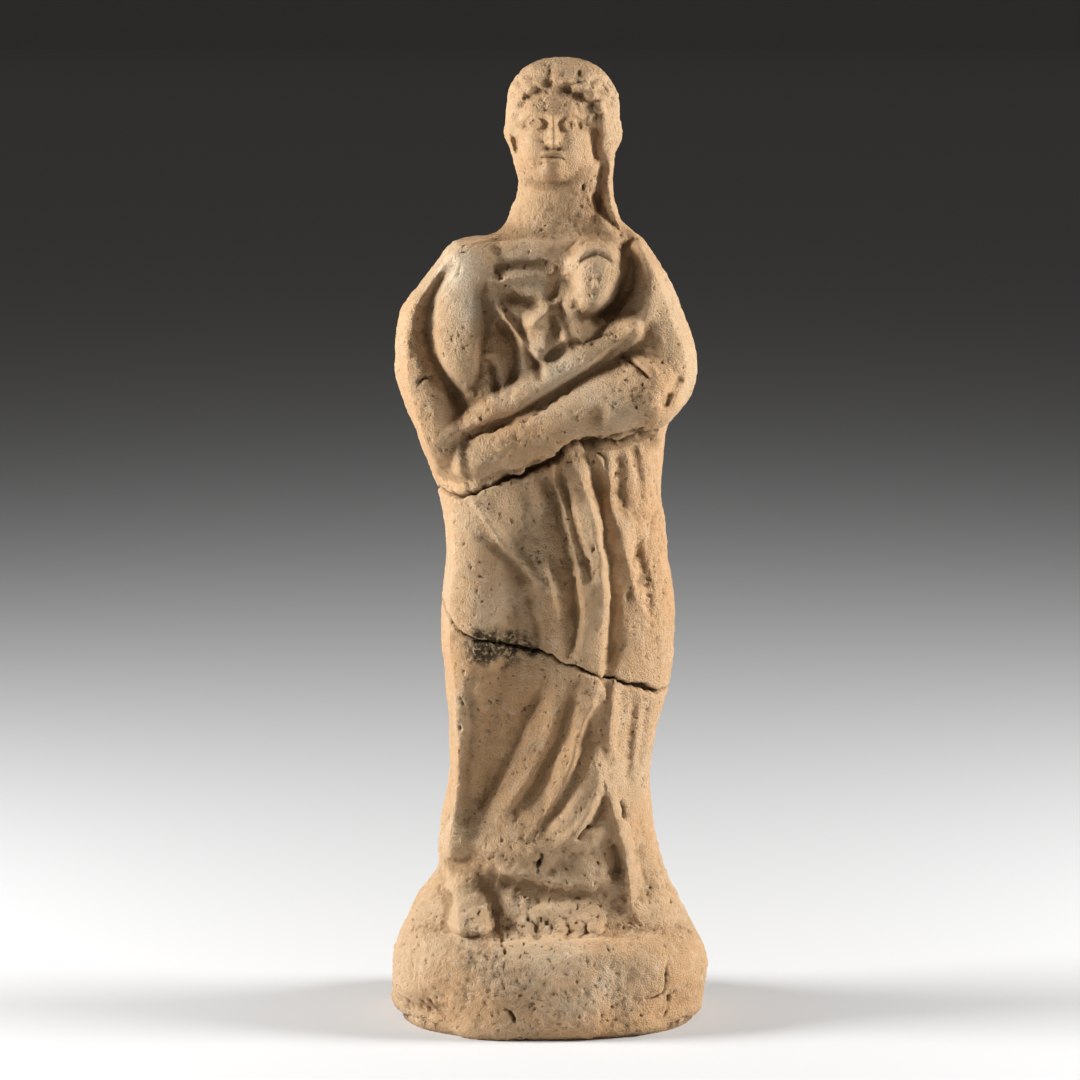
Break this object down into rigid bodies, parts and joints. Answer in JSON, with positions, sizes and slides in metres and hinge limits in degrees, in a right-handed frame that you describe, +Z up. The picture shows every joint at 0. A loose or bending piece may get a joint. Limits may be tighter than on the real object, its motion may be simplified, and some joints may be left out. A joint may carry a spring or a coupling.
{
  "type": "terracotta kourotrophos figurine",
  "caption": "Mould-made terracotta figurine of a standing draped woman holding an infant on her arm, on a low rounded block plinth, mended across old breaks",
  "frame": {"origin": "middle of the plinth's flat underside", "axes": "+Z up the figure, which looks along -Y; +X is the right of the picture, towards the arm that holds the infant"},
  "size_m": [0.0805, 0.06, 0.246],
  "materials": {
    "terracotta": "unglazed low-fired clay, buff to light orange, matt, worn and pitted, with grey-brown soil crust in places"
  },
  "bodies": {
    "root": {"figurine": "terracotta"}
  },
  "joints": []
}
